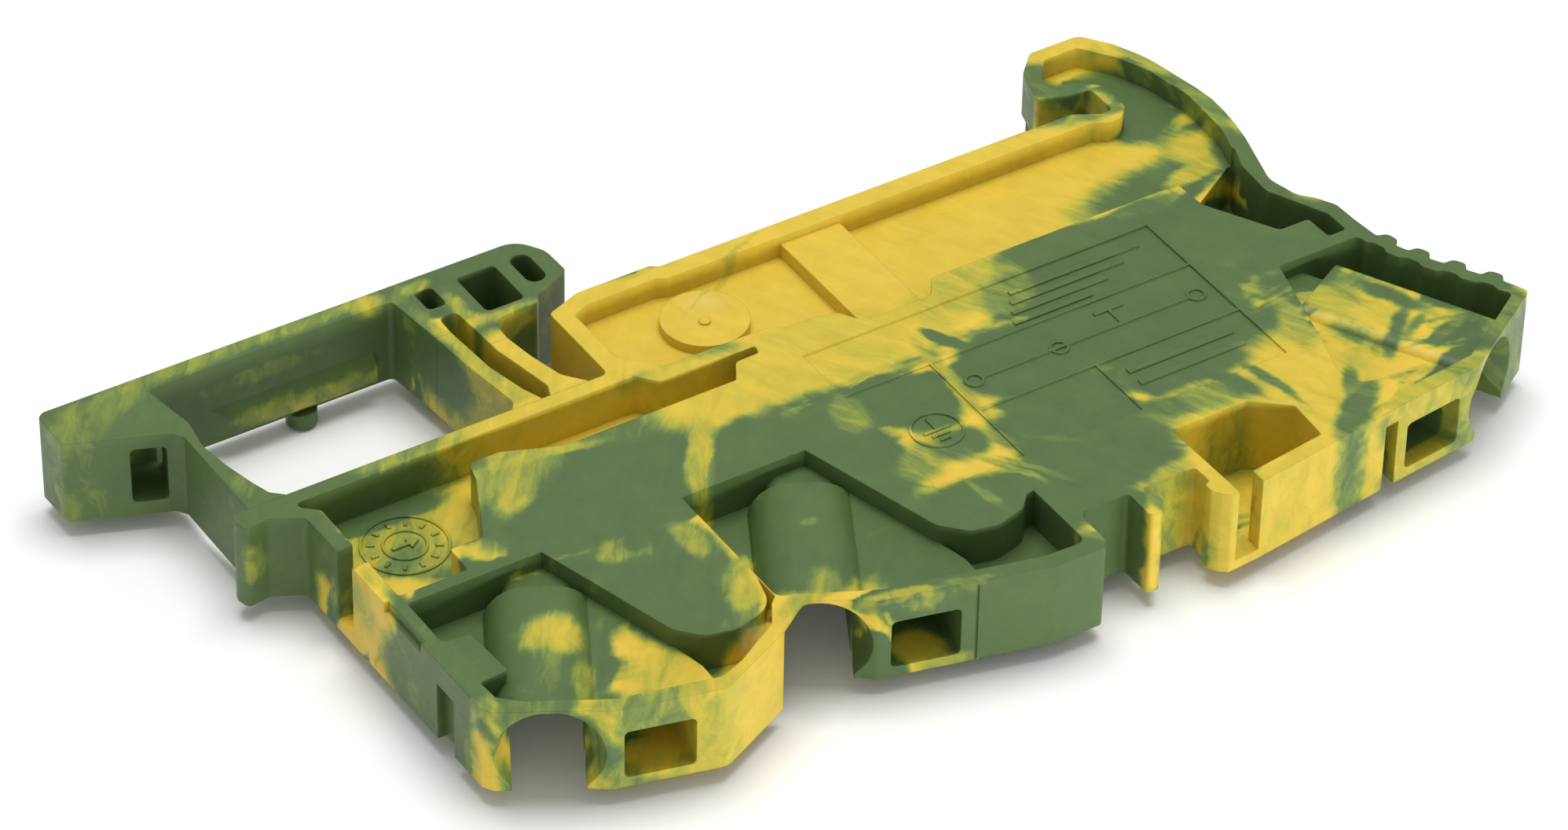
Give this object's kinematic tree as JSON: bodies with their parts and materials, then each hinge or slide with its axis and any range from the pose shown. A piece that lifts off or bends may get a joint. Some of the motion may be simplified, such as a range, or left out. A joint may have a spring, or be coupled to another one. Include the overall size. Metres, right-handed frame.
{
  "type": "din rail terminal block",
  "caption": "Slim push-in protective-earth terminal block for a 35 mm rail, lying on its side: marbled green and yellow moulding with a sprung rail latch and inner metal parts.",
  "frame": {"origin": "middle of the box round the block in plan, at the tip of the locating peg on the open side, which is the lowest point", "axes": "+X along the block to its gripping edge, +Y to the rail, +Z through the block's thickness to its closed side"},
  "size_m": [0.0718, 0.0372, 0.006],
  "materials": {
    "marbled_body": "semi-matt polyamide, swirled green and yellow",
    "tinned_bar": "tin-plated copper alloy",
    "clamp_steel": "stainless spring steel",
    "foot_steel": "zinc-plated steel"
  },
  "bodies": {
    "housing": {"housing": "marbled_body", "latch_leaf_outer": "marbled_body", "latch_leaf_middle": "marbled_body", "latch_leaf_inner": "marbled_body", "current_bar": "tinned_bar", "clamp_spring_1": "clamp_steel", "clamp_spring_2": "clamp_steel", "clamp_spring_3": "clamp_steel", "ground_foot": "foot_steel", "foot_claw": "foot_steel", "foot_rivet_1": "tinned_bar", "foot_rivet_2": "tinned_bar"},
    "latch": {"rail_latch": "marbled_body"},
    "leg_1": {"clamp_leg_1": "clamp_steel"},
    "leg_2": {"clamp_leg_2": "clamp_steel"},
    "leg_3": {"clamp_leg_3": "clamp_steel"}
  },
  "joints": [
    {"name": "latch_slide", "type": "slide", "parent": "housing", "child": "latch", "axis": [-1, 0, 0], "range_m": [0, 0.0022], "stiffness_N_per_m": 6000, "deforming": ["latch_leaf_outer", "latch_leaf_middle", "latch_leaf_inner"]},
    {"name": "clamp_1_open", "type": "hinge", "parent": "housing", "child": "leg_1", "pos_m": [-0.01564, -0.01118, 0.00275], "axis": [0, 0, -1], "range_deg": [0, 14], "stiffness_Nm_per_rad": 0.8},
    {"name": "clamp_2_open", "type": "hinge", "parent": "housing", "child": "leg_2", "pos_m": [-0.00004, -0.01113, 0.00275], "axis": [0, 0, -1], "range_deg": [0, 14], "stiffness_Nm_per_rad": 0.8},
    {"name": "clamp_3_open", "type": "hinge", "parent": "housing", "child": "leg_3", "pos_m": [0.02241, -0.01188, 0.00275], "axis": [0, 0, 1], "range_deg": [0, 14], "stiffness_Nm_per_rad": 0.8}
  ]
}
